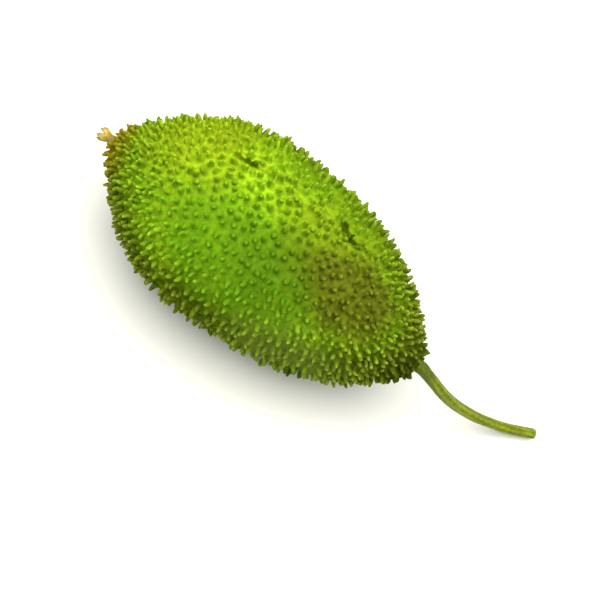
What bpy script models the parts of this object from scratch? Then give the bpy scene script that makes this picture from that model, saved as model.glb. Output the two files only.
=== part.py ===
"""Spiny gourd: one picked fruit lying on its side, with its cut stem and the withered flower at its tip.

Metres, +Z up. The fruit's long axis runs along X, from the flower end at -X to the stem end at +X. The
origin is on the flattened tip of the spine under the middle of the fruit, on the surface that it lies on.
"""

import math
import random

import bmesh
import bpy
import numpy as np
from mathutils import Vector
from mathutils.geometry import delaunay_2d_cdt

# Driving dimensions of the fruit
HALF_LENGTH = 0.0330  # from the middle to either pointed end, spines left out
SKIN_RADIUS = 0.0159  # of the skin where the fruit is fattest
FLANK_POWER = 2.77  # how long the flanks stay full
END_POWER = 1.115  # above 1, so both ends run out to a small beak
FAT_TOWARDS_FLOWER = 0.124  # the flower half is fuller than the stem half
LOBES = 3
LOBE_DEPTH = 0.010  # share of the radius by which the skin waves
LOBE_WIND = 4.0  # how far the waves wind round over half the length
SIDE_BOW = 0.0004  # sideways bend of the axis
BEAK_RADIUS = 0.0014  # both ends are cut off square at this radius
BARE_RIM = 0.0006  # left without spines round both ends
RIM_SIDES = 10
STATIONS = 4001  # where the skin is measured along its length
SMALL_STEP = 0.001  # of u or of an angle, for slopes

# The spines
SPINE_COUNT = 1400
SPINE_LENGTH = 0.0014
SPINE_SIDES = 3
FOOT_RADIUS = 0.00076  # of a spine where it leaves the skin, at most
FOOT_ROOM = 0.46  # share of the way to the nearest spine that a foot may take
CROWDING = 1.6  # how much denser the spines stand at the ends
TRIES = 16  # places tried for each spine
SIZE_SPREAD = 0.12
END_SHORTENING = 0.10  # the spines at the ends are this much shorter
LEAN = 0.00035  # how far a tip leans over, each way
PRESSED = 0.0009  # how much of the lowest spines is pressed flat
REST_U = -0.0385  # the spine under the fruit's weight, over the origin
SEED = 7

# The stem and the withered flower
GAP = 0.0003  # kept between touching pieces
STEM_ROOT_RADIUS = 0.00125
STEM_RADIUS = 0.00100
STEM_CUT_RADIUS = 0.00095
STEM_STRAIGHT = 0.0006  # how far it runs straight out of the fruit
STEM_RIBS = 6
STEM_RIB_DEPTH = 0.10  # share of the radius
STEM_TWIST = 0.9
STEM_FLARE = 6  # the higher, the shorter the thick root
STEM_TAPER = 4  # the higher, the later it slims towards the cut
ROUTE_STEPS = 4  # between one point of the route and the next
STEM_ROUTE = [  # after the straight start; the stem bends to one side and sinks to the surface
    (0.0353, -0.0001, 0.0150),
    (0.0390, 0.0006, 0.0115),
    (0.0420, 0.0017, 0.0085),
    (0.0458, 0.0034, 0.0056),
    (0.0492, 0.0052, 0.0035),
    (0.0531, 0.0073, 0.0020),
    (0.0574, 0.0098, 0.0013),
]
FLOWER_LENGTH = 0.0030
FLOWER_RADIUS = 0.0012
FLOWER_TEETH = 5
FLOWER_SAG = 0.15  # how far it hangs for each unit that it stands out
FLOWER_PROFILE = [  # how far out along the cup and how wide, as shares of its length and radius
    (0.00, 0.75),
    (0.30, 0.65),
    (0.62, 1.00),
    (1.00, 0.90),
    (0.72, 0.62),
    (0.45, 0.30),
]
FLOWER_EDGE = 3  # the ragged edge of the cup in that list
FLOWER_RAGGED = (0.75, 1.15)  # shortest and longest tooth
FLOWER_NOTCH = 0.3  # how far the cup is split between its teeth

# Colours and shading
SKIN_GREEN = (0.30, 0.48, 0.05)
STEM_GREEN = (0.27, 0.33, 0.06)
PETAL_BROWN = (0.42, 0.26, 0.08)
SHARP_ANGLE = math.radians(60)

AXIS_HEIGHT = SKIN_RADIUS + SPINE_LENGTH - PRESSED


def radius(u):
    """Skin radius at u, which runs from -1 at the flower end to +1 at the stem end."""
    u = np.clip(u, -1, 1)
    full = (1 - np.abs(u) ** FLANK_POWER) ** END_POWER
    return SKIN_RADIUS * full * (1 - FAT_TOWARDS_FLOWER * u * (1 - u * u))


def crowd(u):
    """How densely the spines stand at u; 1 at the middle."""
    return 1 + CROWDING * u * u


def survey():
    """Walks along the skin once. For each station it keeps u, its latitude on a flat map of the skin that
    keeps all angles true, and the share of the spines that stand before it."""
    u = np.linspace(-1, 1, STATIONS)
    u = u[radius(u) > BEAK_RADIUS]
    r = radius(u)
    step = np.hypot(np.gradient(u) * HALF_LENGTH, np.gradient(r))
    latitude = np.cumsum(step / r)
    walked = np.cumsum(step)
    spiny = np.minimum(walked, walked[-1] - walked) > BARE_RIM
    share = np.cumsum(step * r * crowd(u) * spiny)
    return u, latitude, share / share[-1]


STATION, LATITUDE, SHARE = survey()


def axis_point(u):
    """The fruit's axis, straight above the origin at the spine that it rests on."""
    return Vector((HALF_LENGTH * (u - REST_U), SIDE_BOW * (REST_U**2 - u * u), AXIS_HEIGHT))


def skin_point(u, around):
    """A point of the skin; around is the angle about the axis, from +Y towards +Z."""
    wave = math.sin(LOBES * around + LOBE_WIND * (u - REST_U))
    r = float(radius(u)) * (1 + LOBE_DEPTH * (wave - 1))
    return axis_point(u) + Vector((0, r * math.cos(around), r * math.sin(around)))


def skin_normal(u, around):
    """Outward direction of the skin."""
    along = skin_point(u + SMALL_STEP, around) - skin_point(u - SMALL_STEP, around)
    across = skin_point(u, around + SMALL_STEP) - skin_point(u, around - SMALL_STEP)
    return across.cross(along).normalized()


def scatter():
    """Where the spines stand: their u and angle about the axis, and their points on the skin. Each is the
    emptiest of a few seeded tries, so they stand evenly but in no pattern, as on the real skin."""
    draw = random.Random(SEED)
    places = [(REST_U, -math.pi / 2)]
    stands = np.empty((SPINE_COUNT, 3))
    stands[0] = skin_point(*places[0])
    for number in range(1, SPINE_COUNT):
        widest = 0.0
        for _ in range(TRIES):
            u = float(np.interp(draw.random(), SHARE, STATION))
            around = draw.uniform(0, math.tau)
            spot = skin_point(u, around)
            apart = np.linalg.norm(stands[:number] - spot, axis=1).min() * crowd(u) ** 0.5
            if apart > widest:
                widest = apart
                place = (u, around)
                stands[number] = spot
        places.append(place)
    return places, stands


def spines():
    """Yields each spine as its u, its angle about the axis, the radius of its foot, its size and the lean
    of its tip. The first one stands upright on the surface."""
    draw = random.Random(SEED)
    places, stands = scatter()
    for number, (u, around) in enumerate(places):
        apart = np.linalg.norm(stands - stands[number], axis=1)
        nearest = float(np.partition(apart, 1)[1])
        foot = min(FOOT_RADIUS, FOOT_ROOM * nearest)
        odds = Vector([draw.uniform(-1, 1) for _ in range(3)])
        size = 1 + SIZE_SPREAD * draw.uniform(-1, 1) - END_SHORTENING * abs(u) ** 3
        if number:
            yield u, around, foot, size, odds * LEAN
        else:
            yield u, around, foot, 1.0, Vector()


def foot_ring(u, around, foot):
    """The points round a spine's foot, as (u, angle about the axis)."""
    r = float(radius(u))
    rise = float(radius(u + SMALL_STEP)) - float(radius(u - SMALL_STEP))
    slope = rise / (2 * SMALL_STEP * HALF_LENGTH)
    for k in range(SPINE_SIDES):
        turn = math.tau * k / SPINE_SIDES
        along = foot * math.sin(turn) / (HALF_LENGTH * math.hypot(1, slope))
        yield u + along, around + foot * math.cos(turn) / r


def material(name, color, roughness):
    """A plain Principled material."""
    made = bpy.data.materials.new(name)
    made.use_nodes = True
    shader = made.node_tree.nodes["Principled BSDF"]
    shader.inputs["Base Color"].default_value = (*color, 1)
    shader.inputs["Roughness"].default_value = roughness
    shader.inputs["Metallic"].default_value = 0
    return made


def add_object(name, mesh, collection, finish):
    """Links a finished mesh as one named piece, shaded smooth with its sharp edges kept."""
    mesh.shade_smooth()
    mesh.set_sharp_from_angle(angle=SHARP_ANGLE)
    mesh.materials.append(finish)
    piece = bpy.data.objects.new(name, mesh)
    collection.objects.link(piece)
    return piece


def stretch_skin(bm, spots):
    """Joins spots, given as (u, angle about the axis), into a closed skin of well shaped triangles. They
    are chosen on the flat map, which is laid out three times side by side to hide its seam."""
    verts = [bm.verts.new(skin_point(*spot)) for spot in spots]
    copies = []
    for u, around in spots:
        latitude = float(np.interp(u, STATION, LATITUDE))
        copies += [Vector((around % math.tau + turn * math.tau, latitude)) for turn in range(3)]
    flat, _, triangles, source, _, _ = delaunay_2d_cdt(copies, [], [], 0, 1e-9)
    for triangle in triangles:
        middle = sum(flat[k].x for k in triangle) / 3
        if math.tau <= middle < 2 * math.tau:
            bm.faces.new([verts[source[k][0] // 3] for k in triangle])
    rims = [edge for edge in bm.edges if edge.is_boundary]
    bmesh.ops.holes_fill(bm, edges=rims)
    return verts


def make_fruit(collection):
    """The skin is stretched over the feet of the spines and a ring at each end. Each foot is then raised
    to a point, and what reaches below the surface under the fruit is pressed flat."""
    bm = bmesh.new()
    spots = []
    tips = []
    for u, around, foot, size, lean in spines():
        spots += foot_ring(u, around, foot)
        tips.append(skin_point(u, around) + skin_normal(u, around) * SPINE_LENGTH * size + lean)
    for end in (STATION[0], STATION[-1]):
        spots += [(float(end), math.tau * k / RIM_SIDES) for k in range(RIM_SIDES)]
    verts = stretch_skin(bm, spots)
    for number, tip in enumerate(tips):
        face = bm.faces.get(verts[SPINE_SIDES * number : SPINE_SIDES * (number + 1)])
        peak = bmesh.ops.poke(bm, faces=[face])["verts"][0]
        peak.co = tip
    pressed = bmesh.ops.bisect_plane(
        bm,
        geom=bm.verts[:] + bm.edges[:] + bm.faces[:],
        dist=1e-7,
        plane_co=(0, 0, 0),
        plane_no=(0, 0, -1),
        clear_outer=True,
    )
    cuts = [piece for piece in pressed["geom_cut"] if isinstance(piece, bmesh.types.BMEdge)]
    bmesh.ops.holes_fill(bm, edges=cuts)
    bmesh.ops.recalc_face_normals(bm, faces=bm.faces[:])
    mesh = bpy.data.meshes.new("fruit")
    bm.to_mesh(mesh)
    bm.free()
    return add_object("fruit", mesh, collection, material("green_skin", SKIN_GREEN, 0.5))


def smooth_route(points):
    """Points on one smooth curve through the given ones."""
    ends = [2 * points[0] - points[1], *points, 2 * points[-1] - points[-2]]
    route = []
    for before, start, end, after in zip(ends, ends[1:], ends[2:], ends[3:]):
        for k in range(ROUTE_STEPS):
            t = k / ROUTE_STEPS
            middle = 3 * (start - end) + after - before
            route.append(
                start
                + (t / 2) * (end - before)
                + (t * t / 2) * (2 * before - 5 * start + 4 * end - after)
                + (t**3 / 2) * middle
            )
    return [*route, points[-1]]


def make_stem(collection, guides):
    """The stalk: thick where it leaves the fruit and slim towards the cut, with soft ribs that wind
    slowly round it."""
    ribs = bpy.data.curves.new("stem_section", "CURVE")
    ribs.dimensions = "2D"
    outline = ribs.splines.new("POLY")
    outline.points.add(2 * STEM_RIBS - 1)
    outline.use_cyclic_u = True
    for k, point in enumerate(outline.points):
        turn = -math.tau * k / (2 * STEM_RIBS)
        r = 1 - STEM_RIB_DEPTH * (k % 2)
        point.co = (r * math.cos(turn), r * math.sin(turn), 0, 1)
    section = bpy.data.objects.new("stem_section", ribs)
    section.hide_render = True
    section.display_type = "WIRE"
    guides.objects.link(section)

    root = axis_point(float(STATION[-1])) + Vector((GAP, 0, 0))
    straight = root + Vector((STEM_STRAIGHT, 0, 0))
    curve = bpy.data.curves.new("stem", "CURVE")
    curve.dimensions = "3D"
    curve.bevel_mode = "OBJECT"
    curve.bevel_object = section
    curve.use_fill_caps = True
    route = [root, *smooth_route([straight, *map(Vector, STEM_ROUTE)])]
    spline = curve.splines.new("POLY")
    spline.points.add(len(route) - 1)
    for number, (point, spot) in enumerate(zip(spline.points, route)):
        t = number / (len(route) - 1)
        thick = STEM_RADIUS + (STEM_ROOT_RADIUS - STEM_RADIUS) * (1 - t) ** STEM_FLARE
        point.co = (*spot, 1)
        point.radius = thick + (STEM_CUT_RADIUS - STEM_RADIUS) * t**STEM_TAPER
        point.tilt = STEM_TWIST * t
    curve.materials.append(material("green_stem", STEM_GREEN, 0.55))
    stem = bpy.data.objects.new("stem", curve)
    collection.objects.link(stem)
    return stem


def make_dried_flower(collection):
    """The withered flower: a short papery cup with ragged teeth, grown on the fruit's pointed end."""
    draw = random.Random(SEED + 1)
    base = axis_point(float(STATION[0])) - Vector((GAP, 0, 0))
    sides = 2 * FLOWER_TEETH
    ragged = [draw.uniform(*FLOWER_RAGGED) * (1 - FLOWER_NOTCH * (k % 2)) for k in range(sides)]
    bm = bmesh.new()
    loops = []
    for number, (out, wide) in enumerate(FLOWER_PROFILE):
        loop = []
        for k in range(sides):
            turn = math.tau * k / sides
            reach = out * FLOWER_LENGTH * (ragged[k] if number == FLOWER_EDGE else 1)
            r = wide * FLOWER_RADIUS
            across = Vector((-reach, r * math.cos(turn), r * math.sin(turn) - FLOWER_SAG * reach))
            loop.append(bm.verts.new(base + across))
        loops.append(loop)
    for inner, outer in zip(loops, loops[1:]):
        for k in range(sides):
            bm.faces.new((inner[k - 1], inner[k], outer[k], outer[k - 1]))
    bm.faces.new(loops[0])
    bm.faces.new(loops[-1])
    bmesh.ops.recalc_face_normals(bm, faces=bm.faces[:])
    mesh = bpy.data.meshes.new("dried_flower")
    bm.to_mesh(mesh)
    bm.free()
    return add_object("dried_flower", mesh, collection, material("dry_petal", PETAL_BROWN, 0.8))


def main():
    for old in list(bpy.data.objects):
        bpy.data.objects.remove(old)
    gourd = bpy.data.collections.new("spiny_gourd")
    bpy.context.scene.collection.children.link(gourd)
    guides = bpy.data.collections.new("guides")
    bpy.context.scene.collection.children.link(guides)
    make_fruit(gourd)
    make_stem(gourd, guides)
    make_dried_flower(gourd)


main()
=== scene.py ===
"""The looks of the spiny gourd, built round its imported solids, in their frame and in metres."""

import math
import random

import bmesh
import bpy
import numpy as np
from mathutils import Euler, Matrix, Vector, noise
from mathutils.geometry import delaunay_2d_cdt


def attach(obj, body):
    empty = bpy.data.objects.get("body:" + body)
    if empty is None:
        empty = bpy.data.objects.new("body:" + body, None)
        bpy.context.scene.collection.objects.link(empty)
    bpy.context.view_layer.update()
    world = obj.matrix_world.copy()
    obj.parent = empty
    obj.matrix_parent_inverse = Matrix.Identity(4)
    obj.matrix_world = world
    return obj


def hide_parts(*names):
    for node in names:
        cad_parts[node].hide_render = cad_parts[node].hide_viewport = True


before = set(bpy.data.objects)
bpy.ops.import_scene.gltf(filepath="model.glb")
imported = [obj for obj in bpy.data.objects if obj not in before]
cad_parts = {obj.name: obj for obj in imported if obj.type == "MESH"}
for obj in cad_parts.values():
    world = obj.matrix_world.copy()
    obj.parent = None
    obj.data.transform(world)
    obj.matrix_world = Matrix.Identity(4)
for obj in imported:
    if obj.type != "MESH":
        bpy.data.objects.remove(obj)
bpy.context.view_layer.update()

# The fruit's body
# One fleshy thing, grown whole, pointed at both ends and a little fuller towards the flower. Its outline
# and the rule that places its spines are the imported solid's own, so every coarse spine has a fine one on
# its root.
HALF_LENGTH = 0.0330  # from the middle to either pointed end, spines left out
SKIN_RADIUS = 0.0159  # of the skin where the fruit is fattest
FLANK_POWER = 2.77  # how long the flanks stay full
END_POWER = 1.115  # above 1, so both ends run out to a small beak
FAT_TOWARDS_FLOWER = 0.124  # the flower half is fuller than the stem half
LOBES = 3
LOBE_DEPTH = 0.010  # share of the radius by which the skin waves
LOBE_WIND = 4.0  # how far the waves wind round over half the length
SIDE_BOW = 0.0004  # sideways bend of the axis
BEAK_RADIUS = 0.0014  # both ends are cut off square at this radius
BARE_RIM = 0.0006  # left without spines round both ends
STATIONS = 4001  # where the skin is measured along its length
SMALL_STEP = 0.001  # of u or of an angle, for slopes
SPINE_LENGTH = 0.0014
CROWDING = 1.6  # how much denser the spines stand at the ends
PRESSED = 0.0009  # how much of the lowest spines is pressed flat
REST_U = -0.0385  # the spine under the fruit's weight, over the origin
AXIS_HEIGHT = SKIN_RADIUS + SPINE_LENGTH - PRESSED


def radius(u):
    """Skin radius at u, from -1 at the flower end to +1 at the stem end."""
    u = np.clip(u, -1, 1)
    full = (1 - np.abs(u) ** FLANK_POWER) ** END_POWER
    return SKIN_RADIUS * full * (1 - FAT_TOWARDS_FLOWER * u * (1 - u * u))


def crowd(u):
    """How densely the spines stand at u; 1 at the middle."""
    return 1 + CROWDING * u * u


station = np.linspace(-1, 1, STATIONS)
station = station[radius(station) > BEAK_RADIUS]
girth = radius(station)
step = np.hypot(np.gradient(station) * HALF_LENGTH, np.gradient(girth))
latitude = np.cumsum(step / girth)
walked = np.cumsum(step)
spiny = np.minimum(walked, walked[-1] - walked) > BARE_RIM
share = np.cumsum(step * girth * crowd(station) * spiny)
share /= share[-1]


def axis_point(u):
    """The fruit's axis, straight above the origin at the spine that it rests on."""
    return Vector((HALF_LENGTH * (u - REST_U), SIDE_BOW * (REST_U**2 - u * u), AXIS_HEIGHT))


def skin_point(u, around):
    """A point of the skin; around is the angle about the axis, from +Y towards +Z."""
    wave = math.sin(LOBES * around + LOBE_WIND * (u - REST_U))
    r = float(radius(u)) * (1 + LOBE_DEPTH * (wave - 1))
    return axis_point(u) + Vector((0, r * math.cos(around), r * math.sin(around)))


def skin_normal(u, around):
    """Outward direction of the skin."""
    along = skin_point(u + SMALL_STEP, around) - skin_point(u - SMALL_STEP, around)
    across = skin_point(u, around + SMALL_STEP) - skin_point(u, around - SMALL_STEP)
    return across.cross(along).normalized()


# The fruit's spines
# Soft blunt prickles of the same flesh, about 1.4 mm high and less than 2 mm apart, in no pattern. Each
# rises from a wide flared foot that nearly meets its neighbours', bends a little and narrows to its tip.
# Those underneath are pressed flat by the fruit's weight.
SPINE_COUNT = 2200
COARSE_COUNT = 1400  # these are the solid's; the later ones stand between them and stay smaller
LATE_SIZE = (0.55, 1.0)
TRIES = 16  # places tried for each spine
SIZE_SPREAD = 0.12
END_SHORTENING = 0.10  # the spines at the ends are this much shorter
LEAN = 0.00035  # how far a tip leans over, each way
BEND = 0.00024  # how far a spine's middle bows out of line, at most
BODY_RADIUS = 0.00050
STOUTNESS = (0.84, 1.14)  # from the slimmest spine's body to the fattest's
FOOT_SIDES = 7
FOOT_ROOM = 0.87  # share of the room between its neighbours that a foot fills
FOOT_REACH = 0.00125  # of a foot from its middle, at most
NEAR = 0.0035  # how far away a neighbour counts
LEAST_SLANT = 0.1  # below this slant, a way round the fruit is taken to miss the bare rims
RIM_SIDES = 24
LAPS = 3  # the flat map goes round the fruit three times, and its middle lap is kept
MERGE_WITHIN = 1e-9  # on the flat map
ON_TABLE = 1e-7  # how near to the table a point counts as on it
SPINE_PROFILE = [  # how far up the spine, its share of the foot's outline, and of the round body's
    (0.06, 0.68, 0.12),
    (0.18, 0.38, 0.32),
    (0.42, 0.14, 0.60),
    (0.72, 0.05, 0.60),
    (0.94, 0.00, 0.40),
]
STRAIGHT_DOWN = 1.5 * math.pi
SEED = 7

draw = random.Random(SEED)
places = [(REST_U, STRAIGHT_DOWN)]
stands = np.empty((SPINE_COUNT, 3))
stands[0] = skin_point(*places[0])
for number in range(1, SPINE_COUNT):
    widest = 0.0
    for _ in range(TRIES):
        u = float(np.interp(draw.random(), share, station))
        around = draw.uniform(0, math.tau)
        spot = skin_point(u, around)
        apart = np.linalg.norm(stands[:number] - spot, axis=1).min() * crowd(u) ** 0.5
        if apart > widest:
            widest = apart
            place = (u, around)
            stands[number] = spot
    places.append(place)

bm = bmesh.new()
spine_of = bm.verts.layers.int.new("spine")
away = bm.verts.layers.float_vector.new("away")
round_away = bm.verts.layers.float_vector.new("round_away")
rise = bm.verts.layers.float.new("rise")
tone = bm.verts.layers.float.new("tone")
flat_map = []
foot_edges = []
verts = []


def plant(u, around, number):
    """Adds one point of the skin, and its place on each lap of the flat map."""
    vert = bm.verts.new(skin_point(u, around))
    vert[spine_of] = number
    verts.append(vert)
    across = float(np.interp(u, station, latitude))
    for lap in range(LAPS):
        flat_map.append(Vector((around + lap * math.tau, across)))
    return vert


roots = []
draw = random.Random(SEED)
looks = random.Random(SEED + 2)
for number, (u, around) in enumerate(places):
    lean = Vector([draw.uniform(-1, 1) for _ in range(3)]) * LEAN
    size = 1 + SIZE_SPREAD * draw.uniform(-1, 1) - END_SHORTENING * abs(u) ** 3
    if number == 0:
        lean = Vector()
        size = 1.0
    if number >= COARSE_COUNT:
        size *= looks.uniform(*LATE_SIZE)
    stout = looks.uniform(*STOUTNESS)
    bend = Vector([looks.uniform(-1, 1) for _ in range(3)]) * BEND
    spine_tone = looks.random()
    root = skin_point(u, around)
    roots.append((root, skin_normal(u, around), SPINE_LENGTH * size, lean, bend))

    ahead = skin_point(u + SMALL_STEP, around) - skin_point(u - SMALL_STEP, around)
    ahead = ahead / (2 * SMALL_STEP)
    apart = stands - stands[number]
    distance = np.linalg.norm(apart, axis=1)
    near = (distance < NEAR) & (distance > 0)
    apart = apart[near]
    along = apart @ np.array(ahead.normalized())
    across = apart @ np.array((0, -math.sin(around), math.cos(around)))
    to_rim = np.interp(u, station, walked)
    first = LAPS * FOOT_SIDES * number
    for k in range(FOOT_SIDES):
        turn = math.tau * k / FOOT_SIDES
        facing = along * math.sin(turn) + across * math.cos(turn)
        rooms = (distance[near] ** 2)[facing > 0] / (2 * facing[facing > 0])
        rim = walked[-1] - to_rim if math.sin(turn) > 0 else to_rim
        rim /= max(abs(math.sin(turn)), LEAST_SLANT)
        reach = min(FOOT_REACH, FOOT_ROOM * min(rooms.min(initial=rim), rim))
        foot_u = u + reach * math.sin(turn) / ahead.length
        vert = plant(foot_u, around + reach * math.cos(turn) / float(radius(u)), number)
        vert[away] = vert.co - root
        vert[round_away] = vert[away].normalized() * BODY_RADIUS * stout
        vert[tone] = spine_tone
        here = first + LAPS * k
        beside = first + LAPS * ((k + 1) % FOOT_SIDES)
        foot_edges += [(here + lap, beside + lap) for lap in range(LAPS)]
for end in (station[0], station[-1]):
    for k in range(RIM_SIDES):
        plant(float(end), math.tau * k / RIM_SIDES, -1)

flat, _, triangles, source, _, _ = delaunay_2d_cdt(flat_map, foot_edges, [], 0, MERGE_WITHIN)
for triangle in triangles:
    middle = sum(flat[k].x for k in triangle) / 3
    if math.tau <= middle < 2 * math.tau:
        bm.faces.new([verts[source[k][0] // LAPS] for k in triangle])
bmesh.ops.holes_fill(bm, edges=[edge for edge in bm.edges if edge.is_boundary])
bmesh.ops.recalc_face_normals(bm, faces=bm.faces[:])

inside = []
for face in bm.faces:
    owners = {vert[spine_of] for vert in face.verts}
    if len(owners) == 1 and -1 not in owners:
        inside.append(face)
caps = bmesh.ops.dissolve_faces(bm, faces=inside)["region"]


def spine_centre(number, height):
    """The middle of a spine at a height from 0 at its foot to 1 at its tip."""
    root, outward, length, lean, bend = roots[number]
    return root + outward * length * height + lean * height * height + bend * 4 * height * (1 - height)


for height, foot_share, body_share in SPINE_PROFILE:
    caps = bmesh.ops.extrude_discrete_faces(bm, faces=caps)["faces"]
    for cap in caps:
        centre = spine_centre(cap.verts[0][spine_of], height)
        for vert in cap.verts:
            vert.co = centre + vert[away] * foot_share + vert[round_away] * body_share
            vert[rise] = height
for tip in bmesh.ops.poke(bm, faces=caps)["verts"]:
    beside = tip.link_edges[0].other_vert(tip)
    tip.co = spine_centre(beside[spine_of], 1)
    tip[tone] = beside[tone]
    tip[rise] = 1

pressed = bmesh.ops.bisect_plane(
    bm,
    geom=bm.verts[:] + bm.edges[:] + bm.faces[:],
    dist=ON_TABLE,
    plane_co=(0, 0, 0),
    plane_no=(0, 0, -1),
    clear_outer=True,
)
cuts = [piece for piece in pressed["geom_cut"] if isinstance(piece, bmesh.types.BMEdge)]
bmesh.ops.holes_fill(bm, edges=cuts)
bmesh.ops.recalc_face_normals(bm, faces=bm.faces[:])
for guide in ("away", "round_away"):
    bm.verts.layers.float_vector.remove(bm.verts.layers.float_vector[guide])
bm.verts.layers.int.remove(bm.verts.layers.int["spine"])


def make_piece(bm, name):
    """Turns a finished mesh into an object that stands at the origin."""
    mesh = bpy.data.meshes.new(name)
    bm.to_mesh(mesh)
    bm.free()
    mesh.shade_smooth()
    piece = bpy.data.objects.new(name, mesh)
    bpy.context.scene.collection.objects.link(piece)
    return piece


gourd_skin = make_piece(bm, "gourd_skin")

# The fruit's colours
# Green flesh. Its upper side is painted lit, a pale net round the spines' darker feet, and its lower sides
# are painted shaded, deep green gaps between paler painted-lit tips. A painted shadow band and two patches
# of painted shade darken parts of the top. The flower end is tanned, and the stem end is dull, partly its
# own colour and partly painted shade. Above the stem lies a dull olive bruise, and the top has a few small
# dark scars.
# Painted light: above these heights the flesh is painted lit, below them painted shaded.
PAINTED_LIGHT_HEIGHTS = (0.0257, 0.0352)  # where the bright flesh begins, and where all of it is bright
PAINTED_LIGHT_WANDER = 0.008  # how far these heights wander from place to place
PAINTED_LIGHT_NEAR_SIDE = 0.22  # how much lower they lie for each unit towards -Y
PAINTED_LIGHT_FLOWER_END = 0.13  # and for each unit towards the flower
DRIFTS = 140.0  # clouds to the metre, as are the next three
BLOTCHES = 90.0
SPECKLES = 1100.0
PORES = 2600.0
PORE_DEPTH = 0.00006
PORE_ROUGHNESS = (0.42, 0.60)  # from their bottoms to the skin between them
SPECKLE_DARK = (0.28, 0.28, 0.28, 1)
SPECKLE_PALE = (0.72, 0.72, 0.72, 1)
SKIN_STAINS = {  # middle, half size, how ragged, grain of the edge, how soft, strength, colour
    # painted shade: the near side of the top darker
    "painted_shade_near_top": ((0.0003, -0.0095, 0.0295), (0.0150, 0.0080, 0.0090), 0.7, 120.0, 0.6, 0.68, (86, 138, 18)),
    # olive colour and painted shade: the far side of the top darker
    "olive_and_painted_shade_far_top": ((0.0060, 0.0085, 0.0290), (0.0130, 0.0060, 0.0080), 0.8, 150.0, 0.6, 0.45, (108, 142, 20)),
    "yellow": ((-0.0170, 0.0040, 0.0300), (0.0100, 0.0085, 0.0080), 0.8, 150.0, 0.6, 0.35, (150, 154, 20)),
    "tanned": ((-0.0335, -0.0020, 0.0160), (0.0085, 0.0078, 0.0076), 0.9, 300.0, 0.6, 0.75, (140, 118, 10)),
    # dull colour and painted shade at the stem end
    "dull": ((0.0350, -0.0010, 0.0150), (0.0075, 0.0070, 0.0065), 0.8, 260.0, 0.5, 0.75, (58, 70, 14)),
    "faded": ((0.0115, -0.0010, 0.0300), (0.0085, 0.0060, 0.0080), 0.9, 160.0, 0.6, 0.50, (112, 126, 20)),
    "pale": ((0.0160, -0.0150, 0.0150), (0.0110, 0.0060, 0.0090), 0.8, 160.0, 0.6, 0.40, (124, 148, 54)),
}
# A painted shadow band over the top, darker and bluer, multiplied on the flesh.
PAINTED_SHADOW_BAND = ((0.0075, -0.0080, 0.0295), (0.0085, 0.0062, 0.0060), 0.8, 160.0, 0.5)
PAINTED_SHADOW_DARKENING = (0.72, 0.73, 0.85, 1)
BRUISE = ((0.0184, -0.0038, 0.0286), (0.0085, 0.0060, 0.0072), 0.8, 160.0, 0.45)
# Where the stem sits, darker: partly its own colour and partly painted shade.
STEM_SOCKET_DARK_AND_SHADE = ((0.0315, -0.0030, 0.0160), (0.0032, 0.0042, 0.0042), 0.9, 320.0, 0.7)
SCAR_EDGE = (1.4, 1300.0, 0.5)
SCARS = [  # middle, half size, and how far it is turned about Z
    ((0.0108, 0.0042, 0.0308), (0.0014, 0.0008, 0.0030), -0.65),
    ((0.0130, 0.0033, 0.0304), (0.0016, 0.0006, 0.0030), 0.0),
    ((-0.0072, 0.0029, 0.0322), (0.0017, 0.0005, 0.0030), 0.09),
    ((0.0175, -0.0140, 0.0115), (0.0019, 0.0024, 0.0022), 0.0),
]


def seen(red, green, blue):
    """A colour as the eye names it, 0 to 255, made linear."""
    shares = (red / 255, green / 255, blue / 255)
    linear = [((c + 0.055) / 1.055) ** 2.4 if c > 0.04 else c / 12.92 for c in shares]
    return (*linear, 1)


def put(tree, kind, inputs=(), **settings):
    """Adds a node, sets it up, and gives each input a value or a link."""
    made = tree.nodes.new(kind)
    for name, value in settings.items():
        setattr(made, name, value)
    for name, value in dict(inputs).items():
        if isinstance(value, bpy.types.NodeSocket):
            tree.links.new(value, made.inputs[name])
        else:
            made.inputs[name].default_value = value
    return made


def carried(tree, name, kind="Fac"):
    """A value that each point of the piece carries."""
    return put(tree, "ShaderNodeAttribute", attribute_name=name).outputs[kind]


def cloud(tree, place, scale, detail=3.0):
    """Soft noise from 0 to 1; the scale is in clouds to the metre."""
    return put(tree, "ShaderNodeTexNoise", {"Vector": place, "Scale": scale, "Detail": detail}).outputs[0]


def ramp(tree, factor, stops):
    """A colour for each height of the factor."""
    made = put(tree, "ShaderNodeValToRGB", {"Fac": factor})
    elements = made.color_ramp.elements
    while len(elements) < len(stops):
        elements.new(0.5)
    for element, (place, color) in zip(elements, stops):
        element.position = place
        element.color = color
    return made.outputs["Color"]


def speckled(tree, place, scale, detail):
    """Dark and pale grey flecks, to overlay a colour with."""
    return ramp(tree, cloud(tree, place, scale, detail), [(0.36, SPECKLE_DARK), (0.64, SPECKLE_PALE)])


def stain(tree, factor, under, over, way="MIX"):
    """Lays one colour over another where the factor is high."""
    made = put(tree, "ShaderNodeMix", data_type="RGBA", blend_type=way)
    for socket, value in ((made.inputs[0], factor), (made.inputs[6], under), (made.inputs[7], over)):
        if isinstance(value, bpy.types.NodeSocket):
            tree.links.new(value, socket)
        else:
            socket.default_value = value
    return made.outputs[2]


def reckon(tree, way, first, second=0.0, third=0.0):
    """One step of arithmetic."""
    return put(tree, "ShaderNodeMath", {0: first, 1: second, 2: third}, operation=way).outputs[0]


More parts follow.
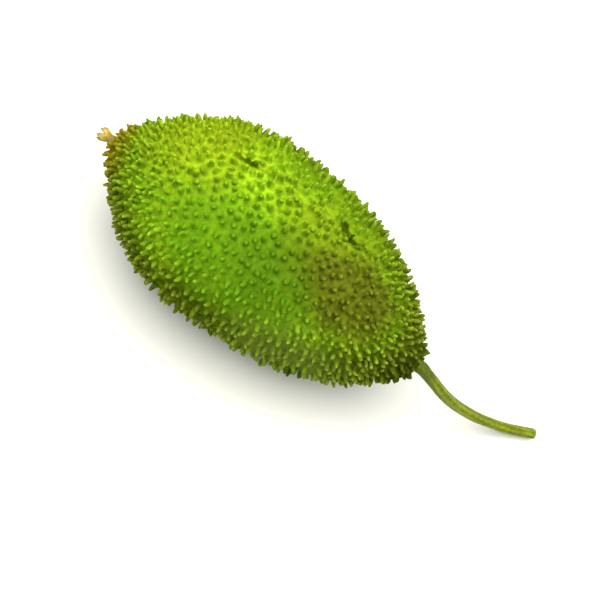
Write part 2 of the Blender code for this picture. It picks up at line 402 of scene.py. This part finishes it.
def patch(tree, place, centre, reach, ragged, grain, soft, turned=0.0):
    """1 inside a soft ragged patch and 0 outside it. The reach is its half size, and turned is about Z."""
    inputs = {"Vector": place, "Location": centre, "Rotation": (0, 0, turned), "Scale": reach}
    scaled = put(tree, "ShaderNodeMapping", inputs, vector_type="TEXTURE").outputs[0]
    far = put(tree, "ShaderNodeVectorMath", {0: scaled}, operation="LENGTH").outputs["Value"]
    wave = reckon(tree, "MULTIPLY_ADD", cloud(tree, place, grain), ragged, -ragged / 2)
    edge = reckon(tree, "ADD", far, wave)
    inputs = {"Value": edge, "From Min": 1 - soft, "From Max": 1 + soft, "To Min": 1.0, "To Max": 0.0}
    return put(tree, "ShaderNodeMapRange", inputs, interpolation_type="SMOOTHSTEP").outputs["Result"]


def dab(tree, strength, mask, under, over):
    """Stains the masked place, at less than full strength."""
    return stain(tree, reckon(tree, "MULTIPLY", mask, strength), under, over)


def new_finish(piece, name):
    """Gives the piece a material, and returns its tree, its shader and the place of each point."""
    finish = bpy.data.materials.new(name)
    finish.use_nodes = True
    piece.data.materials.append(finish)
    tree = finish.node_tree
    return tree, tree.nodes["Principled BSDF"], tree.nodes.new("ShaderNodeTexCoord").outputs["Object"]


tree, shader, place = new_finish(gourd_skin, "gourd_flesh")
height = carried(tree, "rise")
# Painted light on the upper side: a bright net between darker spine feet, and pale tips.
painted_lit_flesh = [
    (0.0, seen(154, 192, 28)),
    (0.05, seen(120, 164, 18)),
    (0.30, seen(124, 170, 20)),
    (0.80, seen(136, 180, 26)),
    (1.0, seen(148, 188, 42)),
]
# Painted shade on the lower sides: dark gaps between the spines, with paler painted-lit tips.
painted_shade_flesh = [
    (0.0, seen(48, 68, 0)),
    (0.10, seen(60, 78, 2)),
    (0.35, seen(81, 94, 16)),
    (0.80, seen(105, 118, 34)),
    (1.0, seen(128, 140, 54)),
]
bruised_flesh = [(0.0, seen(88, 93, 18)), (0.3, seen(92, 98, 22)), (1.0, seen(106, 112, 34))]

# The mask of painted light: higher up, nearer -Y and towards the flower, the flesh is painted lit.
split = put(tree, "ShaderNodeSeparateXYZ", {"Vector": place})
painted_light_mask = reckon(tree, "MULTIPLY_ADD", cloud(tree, place, DRIFTS), PAINTED_LIGHT_WANDER, split.outputs["Z"])
painted_light_mask = reckon(tree, "MULTIPLY_ADD", split.outputs["Y"], -PAINTED_LIGHT_NEAR_SIDE, painted_light_mask)
flowerward = reckon(tree, "MINIMUM", split.outputs["X"], 0.0)
painted_light_mask = reckon(tree, "MULTIPLY_ADD", flowerward, -PAINTED_LIGHT_FLOWER_END, painted_light_mask)
inputs = {"Value": painted_light_mask, "From Min": PAINTED_LIGHT_HEIGHTS[0], "From Max": PAINTED_LIGHT_HEIGHTS[1]}
painted_light_mask = put(tree, "ShaderNodeMapRange", inputs, interpolation_type="SMOOTHSTEP").outputs["Result"]
color = stain(tree, painted_light_mask, ramp(tree, height, painted_shade_flesh), ramp(tree, height, painted_lit_flesh))

blotches = reckon(tree, "MULTIPLY_ADD", cloud(tree, place, BLOTCHES, 4.0), 1.6, -0.45)
color = dab(tree, 0.35, blotches, color, seen(86, 124, 20))
color = dab(tree, 0.3, carried(tree, "tone"), color, seen(128, 138, 28))
speckle = speckled(tree, place, SPECKLES, 3.0)
color = stain(tree, 0.8, color, speckle, "OVERLAY")
# Stains of the flesh's own colour, and patches of painted shade.
for *where, strength, tint in SKIN_STAINS.values():
    color = dab(tree, strength, patch(tree, place, *where), color, seen(*tint))
# The painted shadow band.
color = stain(tree, patch(tree, place, *PAINTED_SHADOW_BAND), color, PAINTED_SHADOW_DARKENING, "MULTIPLY")
bruise = stain(tree, 0.9, ramp(tree, height, bruised_flesh), speckle, "OVERLAY")
color = dab(tree, 0.9, patch(tree, place, *BRUISE), color, bruise)
# The stem socket: dark colour and painted shade.
color = dab(tree, 0.7, patch(tree, place, *STEM_SOCKET_DARK_AND_SHADE), color, seen(50, 60, 8))
for centre, reach, turned in SCARS:
    color = dab(tree, 0.88, patch(tree, place, centre, reach, *SCAR_EDGE, turned), color, seen(40, 58, 4))

pores = cloud(tree, place, PORES)
bump = put(tree, "ShaderNodeBump", {"Height": pores, "Strength": 0.25, "Distance": PORE_DEPTH})
inputs = {"Value": pores, "To Min": PORE_ROUGHNESS[0], "To Max": PORE_ROUGHNESS[1]}
rough = put(tree, "ShaderNodeMapRange", inputs).outputs["Result"]
tree.links.new(color, shader.inputs["Base Color"])
tree.links.new(rough, shader.inputs["Roughness"])
tree.links.new(bump.outputs["Normal"], shader.inputs["Normal"])
shader.inputs["Specular IOR Level"].default_value = 0.0
shader.inputs["Subsurface Weight"].default_value = 0.2
shader.inputs["Subsurface Radius"].default_value = (0.6, 1.0, 0.15)
shader.inputs["Subsurface Scale"].default_value = 0.0012
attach(gourd_skin, "root")
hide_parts("fruit")


# The stem
# The stalk that the fruit hung by, cut off with about 30 mm left on. It is green and fibrous, with six
# soft ribs that wind slowly round it, a thickened root on the fruit and a pale core in the cut end. The
# root is darker, partly its own colour and partly painted shade.
GAP = 0.0003  # kept between touching pieces
STEM_ROOT_RADIUS = 0.00125
STEM_RADIUS = 0.00100
STEM_CUT_RADIUS = 0.00095
STEM_FLARE = 6  # the higher, the shorter the thick root
STEM_TAPER = 4  # the higher, the later it slims towards the cut
STEM_STRAIGHT = 0.0006  # how far it runs straight out of the fruit
STEM_RIBS = 6
STEM_RIB_DEPTH = 0.09  # share of the radius
STEM_TWIST = 0.9
KNOB_DEPTH = 0.03  # share of the radius
KNOB_LENGTH = 0.0035
STEM_SIDES = 48
STEM_STEPS = 14  # between one point of the route and the next
STEM_ROUTE = [  # after the straight start; the stem bends to one side and sinks to the surface
    (0.0353, -0.0001, 0.0150),
    (0.0390, 0.0006, 0.0115),
    (0.0420, 0.0017, 0.0085),
    (0.0458, 0.0034, 0.0056),
    (0.0492, 0.0052, 0.0035),
    (0.0531, 0.0073, 0.0020),
    (0.0574, 0.0098, 0.0013),
]
CUT_PROFILE = [  # how wide, and how far the cut face stands out of the end
    (0.97, 0.00003),
    (0.90, 0.00006),
    (0.72, 0.00003),
    (0.50, -0.00004),
    (0.28, -0.00002),
    (0.10, 0.00000),
]
CUT_EDGE = math.radians(60)
FIBRES = (9000.0, 9000.0, 260.0)  # to the metre: across the stem both ways, and along it
FIBRE_DEPTH = 0.00008
RIND_BLOTCHES = 260.0
RIND_SPECKLES = 1500.0
# The root's dark is partly its own colour and partly painted shade.
ROOT_DARK_AND_SHADE = 0.0036  # how far the dark of the root reaches
WOODY_FROM = 0.02  # how far in from the cut face's edge its wood begins, as a share of its radius
CORE_FROM = 0.55

stem_root = axis_point(float(station[-1])) + Vector((GAP, 0, 0))
knots = [stem_root + Vector((STEM_STRAIGHT, 0, 0)), *map(Vector, STEM_ROUTE)]
knots = [2 * knots[0] - knots[1], *knots, 2 * knots[-1] - knots[-2]]
route = [stem_root - Vector((GAP, 0, 0)), stem_root, stem_root + Vector((0.5 * STEM_STRAIGHT, 0, 0))]
for before, start, end, after in zip(knots, knots[1:], knots[2:], knots[3:]):
    for k in range(STEM_STEPS):
        t = k / STEM_STEPS
        swing = (t * t / 2) * (2 * before - 5 * start + 4 * end - after)
        swing += (t**3 / 2) * (3 * (start - end) + after - before)
        route.append(start + (t / 2) * (end - before) + swing)
route.append(knots[-2])

bm = bmesh.new()
along_stem = bm.verts.layers.float_vector.new("along_stem")
ridge = bm.verts.layers.float.new("ridge")
core = bm.verts.layers.float.new("core")
bmesh.ops.create_circle(bm, cap_ends=True, radius=1, segments=STEM_SIDES)
bm.faces.ensure_lookup_table()
top = bm.faces[0]
walk = 0.0
rings = [(spot, 1.0, 0.0) for spot in route] + [(route[-1], wide, out) for wide, out in CUT_PROFILE]
side = Vector((0, 1, 0))
for number, (spot, wide, out) in enumerate(rings):
    here = min(number, len(route) - 1)
    t = here / (len(route) - 1)
    ahead = route[min(here + 1, len(route) - 1)] - route[max(here - 1, 0)]
    ahead = Vector((1, 0, 0)) if here < 2 else ahead.normalized()
    side = (side - ahead * side.dot(ahead)).normalized()
    up = ahead.cross(side)
    if 0 < number < len(route):
        walk += (route[number] - route[number - 1]).length
    thick = STEM_RADIUS + (STEM_ROOT_RADIUS - STEM_RADIUS) * (1 - t) ** STEM_FLARE
    thick += (STEM_CUT_RADIUS - STEM_RADIUS) * t**STEM_TAPER
    if number:
        top = bmesh.ops.extrude_discrete_faces(bm, faces=[top])["faces"][0]
    for k, vert in enumerate(top.verts):
        turn = math.tau * k / STEM_SIDES
        rib = math.cos(STEM_RIBS * turn)
        knob = noise.noise(Vector((math.cos(turn), math.sin(turn), walk / KNOB_LENGTH)))
        r = thick * wide * (1 - STEM_RIB_DEPTH * (0.5 - 0.5 * rib) + KNOB_DEPTH * knob)
        turned = turn + STEM_TWIST * t
        vert.co = spot + ahead * out + (side * math.cos(turned) + up * math.sin(turned)) * r
        vert[along_stem] = (math.cos(turn) * STEM_RADIUS * wide, math.sin(turn) * STEM_RADIUS * wide, walk)
        vert[ridge] = 0.5 + 0.5 * rib
        vert[core] = 1 - wide if number > here else 0
bmesh.ops.holes_fill(bm, edges=[edge for edge in bm.edges if edge.is_boundary])
bmesh.ops.recalc_face_normals(bm, faces=bm.faces[:])
stem_stalk = make_piece(bm, "stem_stalk")
stem_stalk.data.set_sharp_from_angle(angle=CUT_EDGE)

tree, shader, place = new_finish(stem_stalk, "stalk_rind")
rind = [(0.0, seen(92, 108, 12)), (0.5, seen(116, 132, 20)), (1.0, seen(140, 152, 36))]
inputs = {"Vector": carried(tree, "along_stem", "Vector"), "Scale": FIBRES}
fibres = cloud(tree, put(tree, "ShaderNodeMapping", inputs).outputs[0], 1.0, 4.0)
color = ramp(tree, carried(tree, "ridge"), rind)
color = stain(tree, reckon(tree, "MULTIPLY_ADD", fibres, 1.8, -0.6), color, seen(88, 98, 14))
blotches = reckon(tree, "MULTIPLY_ADD", cloud(tree, place, RIND_BLOTCHES), 1.2, -0.45)
color = stain(tree, blotches, color, seen(142, 148, 30))
color = stain(tree, 0.5, color, speckled(tree, place, RIND_SPECKLES, 4.0), "OVERLAY")
# The root darker: its own colour and painted shade.
root_dark_and_shade = patch(tree, place, tuple(stem_root), (ROOT_DARK_AND_SHADE, ROOT_DARK_AND_SHADE, ROOT_DARK_AND_SHADE), 0.5, 500.0, 0.5)
color = dab(tree, 0.7, root_dark_and_shade, color, seen(66, 82, 8))
cut_face = carried(tree, "core")
color = stain(tree, reckon(tree, "GREATER_THAN", cut_face, WOODY_FROM), color, seen(190, 190, 120))
color = stain(tree, reckon(tree, "GREATER_THAN", cut_face, CORE_FROM), color, seen(214, 208, 160))
bump = put(tree, "ShaderNodeBump", {"Height": fibres, "Strength": 0.5, "Distance": FIBRE_DEPTH})
tree.links.new(color, shader.inputs["Base Color"])
tree.links.new(bump.outputs["Normal"], shader.inputs["Normal"])
shader.inputs["Roughness"].default_value = 0.55
shader.inputs["Specular IOR Level"].default_value = 0.15
shader.inputs["Subsurface Weight"].default_value = 0.1
shader.inputs["Subsurface Scale"].default_value = 0.0005
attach(stem_stalk, "root")
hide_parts("stem")


# The withered flower
# What is left of the blossom: a shrivelled papery cup of five ragged lobes, dried on to the fruit's tip.
# It is thin and brittle, straw yellow with brown edges.
FLOWER_LENGTH = 0.0030
FLOWER_RADIUS = 0.0012
FLOWER_LOBES = 5
FLOWER_SAG = 0.15  # how far it hangs for each unit that it stands out
FLOWER_SIDES = 80
LOBE_CUT = 0.42  # how deep the gaps between the lobes are
LOBE_POINT = 1.5  # above 1, so the gaps are narrower than the lobes
LOBE_PINCH = 0.14  # how far the gaps draw the rim in
RAG_DEPTH = 0.16
RAG_WAVES = 6
RAG_SLICE = 9.0
CRUMPLE_DEPTH = 0.16
CRUMPLE_WAVES = 2.2
CRUMPLE_ALONG = 3
CRUMPLE_BASE = 0.3  # how crumpled the cup is where the lobes don't split it
VEINS = 1800.0  # to the metre
VEIN_DEPTH = 0.0001
FLOWER_PROFILE = [  # how far out along the cup, how wide, and how much the lobes split it there
    (-0.10, 0.70, 0.0),
    (0.00, 0.75, 0.0),
    (0.12, 0.66, 0.0),
    (0.30, 0.62, 0.1),
    (0.46, 0.80, 0.3),
    (0.62, 0.97, 0.6),
    (0.78, 0.99, 0.8),
    (0.92, 0.93, 1.0),
    (1.00, 0.88, 1.0),
    (0.98, 0.80, 1.0),
    (0.88, 0.78, 1.0),
    (0.76, 0.76, 0.8),
    (0.62, 0.66, 0.6),
    (0.50, 0.42, 0.3),
    (0.47, 0.16, 0.1),
]

flower_base = axis_point(float(station[0])) - Vector((GAP, 0, 0))
bm = bmesh.new()
worn = bm.verts.layers.float.new("worn")
bmesh.ops.create_circle(bm, cap_ends=True, radius=1, segments=FLOWER_SIDES)
bm.faces.ensure_lookup_table()
top = bm.faces[0]
for number, (out, wide, split) in enumerate(FLOWER_PROFILE):
    if number:
        top = bmesh.ops.extrude_discrete_faces(bm, faces=[top])["faces"][0]
    for k, vert in enumerate(top.verts):
        turn = math.tau * k / FLOWER_SIDES
        between = 1 - abs(math.cos(FLOWER_LOBES * turn / 2))
        waves = (CRUMPLE_WAVES * math.cos(turn), CRUMPLE_WAVES * math.sin(turn), CRUMPLE_ALONG * out)
        crumple = CRUMPLE_DEPTH * noise.noise(Vector(waves)) * (CRUMPLE_BASE + split)
        waves = (RAG_WAVES * math.cos(turn), RAG_WAVES * math.sin(turn), RAG_SLICE)
        ragged = RAG_DEPTH * split * noise.noise(Vector(waves))
        reach = out * FLOWER_LENGTH * (1 - split * LOBE_CUT * between**LOBE_POINT + ragged)
        r = wide * FLOWER_RADIUS * (1 + crumple - LOBE_PINCH * split * between)
        offset = Vector((-reach, r * math.cos(turn), r * math.sin(turn) - FLOWER_SAG * reach))
        vert.co = flower_base + offset
        vert[worn] = split * out
bmesh.ops.holes_fill(bm, edges=[edge for edge in bm.edges if edge.is_boundary])
bmesh.ops.recalc_face_normals(bm, faces=bm.faces[:])
flower_remnant = make_piece(bm, "flower_remnant")

tree, shader, place = new_finish(flower_remnant, "dry_petal")
petal = [(0.0, seen(140, 122, 44)), (0.45, seen(222, 202, 96)), (1.0, seen(156, 132, 58))]
veins = cloud(tree, place, VEINS, 4.0)
color = ramp(tree, carried(tree, "worn"), petal)
color = stain(tree, reckon(tree, "MULTIPLY_ADD", veins, 1.8, -0.6), color, seen(148, 124, 48))
bump = put(tree, "ShaderNodeBump", {"Height": veins, "Strength": 0.6, "Distance": VEIN_DEPTH})
tree.links.new(color, shader.inputs["Base Color"])
tree.links.new(bump.outputs["Normal"], shader.inputs["Normal"])
shader.inputs["Roughness"].default_value = 0.8
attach(flower_remnant, "root")
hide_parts("dried_flower")


# The table
# A plain white board that the fruit lies on, matt and a little uneven in tone, and far wider than the
# view. It is no part of the fruit.
TABLE_HALF = 3.0
bm = bmesh.new()
bmesh.ops.create_grid(bm, x_segments=1, y_segments=1, size=TABLE_HALF)
table = make_piece(bm, "table")
tree, shader, place = new_finish(table, "white_board")
board = [(0.3, seen(236, 236, 234)), (0.7, seen(240, 240, 239))]
tree.links.new(ramp(tree, cloud(tree, place, 14.0, 2.0), board), shader.inputs["Base Color"])
shader.inputs["Roughness"].default_value = 0.7


# The light
# One broad soft lamp, all but straight above, and an even white glow from all round.
GLOW = 0.3
LAMP_TOWARDS = Vector((0.04, 0.0, 1.0))
LAMP_REACH = 0.6
LAMP_SIZE = 0.9
LAMP_POWER = 8.1
LAMP_COLOR = (1.0, 0.985, 0.88)
world = bpy.data.worlds.new("studio")
bpy.context.scene.world = world
world.use_nodes = True
world.node_tree.nodes["Background"].inputs["Color"].default_value = seen(244, 248, 255)
world.node_tree.nodes["Background"].inputs["Strength"].default_value = GLOW
lamp_data = bpy.data.lights.new("softbox", "AREA")
lamp_data.shape = "DISK"
lamp_data.size = LAMP_SIZE
lamp_data.energy = LAMP_POWER
lamp_data.color = LAMP_COLOR
lamp = bpy.data.objects.new("softbox", lamp_data)
bpy.context.scene.collection.objects.link(lamp)
lamp.location = LAMP_TOWARDS.normalized() * LAMP_REACH
lamp.rotation_euler = lamp.location.to_track_quat("Z", "Y").to_euler()

# The camera
# It stands where the photo's stood, 56 degrees above the table's plane, and is turned from the photo's
# own direction straight to the gourd, with a longer lens in place of the photo's wide one.
PHOTO_PLACE = Vector((0.0252, -0.0758, 0.1696))
PHOTO_PITCH = math.radians(56)
PHOTO_TURN = math.radians(41.4)
AIM = Vector((0.0105, -0.0015, 0.0120))
LENS = 62
NEAREST = 0.01
camera_data = bpy.data.cameras.new("camera")
camera_data.lens = LENS
camera_data.clip_start = NEAREST
camera = bpy.data.objects.new("camera", camera_data)
bpy.context.scene.collection.objects.link(camera)
photo_view = Euler((math.pi / 2 - PHOTO_PITCH, 0, PHOTO_TURN)).to_quaternion()
swing = (photo_view @ Vector((0, 0, -1))).rotation_difference(AIM - PHOTO_PLACE)
camera.location = PHOTO_PLACE
camera.rotation_euler = (swing @ photo_view).to_euler()
bpy.context.scene.camera = camera
bpy.context.scene.view_settings.view_transform = "Standard"
